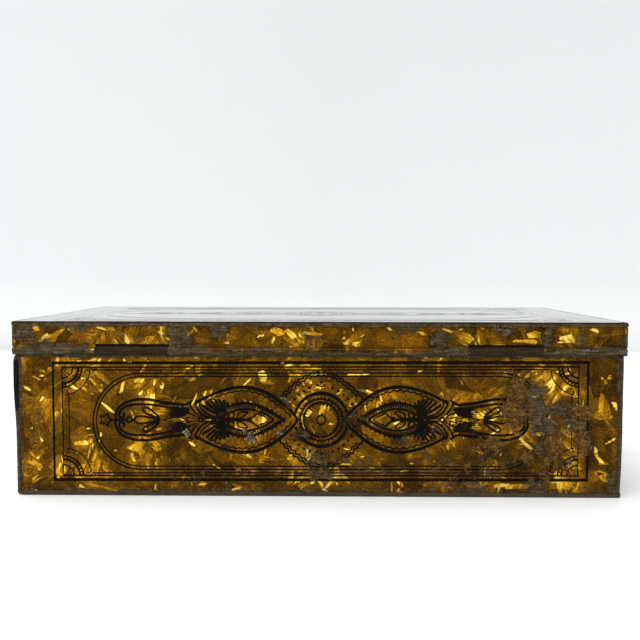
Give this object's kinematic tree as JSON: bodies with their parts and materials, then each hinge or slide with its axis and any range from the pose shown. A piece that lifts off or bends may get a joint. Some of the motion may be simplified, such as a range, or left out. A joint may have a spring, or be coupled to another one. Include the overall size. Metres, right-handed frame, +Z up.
{
  "type": "hinged cookie tin",
  "caption": "Shallow rectangular tinplate box with an overlapping lid on a rolled wire hinge, black ornament printed on mottled gold lacquer.",
  "frame": {"origin": "middle of the underside of the bottom plate, on the table, under the middle of the body", "axes": "+X along the long side, -Y towards the hinged back, +Y towards the front where the lid opens, +Z up"},
  "size_m": [0.2548, 0.1555, 0.0732],
  "materials": {
    "gold_lacquer": "amber lacquer over crystallised tinplate, glossy, worn through to grey-brown metal at edges, with black printed ornament",
    "worn_tin": "bare tinplate, dulled and rust-stained",
    "steel_wire": "drawn steel wire, dull"
  },
  "bodies": {
    "tin_body": {"bottom_plate": "worn_tin", "back_wall": "gold_lacquer", "front_wall": "gold_lacquer", "left_end_wall": "gold_lacquer", "right_end_wall": "gold_lacquer", "left_hinge_strap": "worn_tin", "right_hinge_strap": "worn_tin"},
    "lid": {"hinge_wire": "steel_wire", "lid_back_rim": "gold_lacquer", "lid_front_rim": "gold_lacquer", "lid_top": "gold_lacquer"}
  },
  "joints": [
    {"name": "lid_hinge", "type": "hinge", "parent": "tin_body", "child": "lid", "pos_m": [0, -0.0773, 0.0611], "axis": [1, 0, 0], "range_deg": [0, 195]}
  ]
}
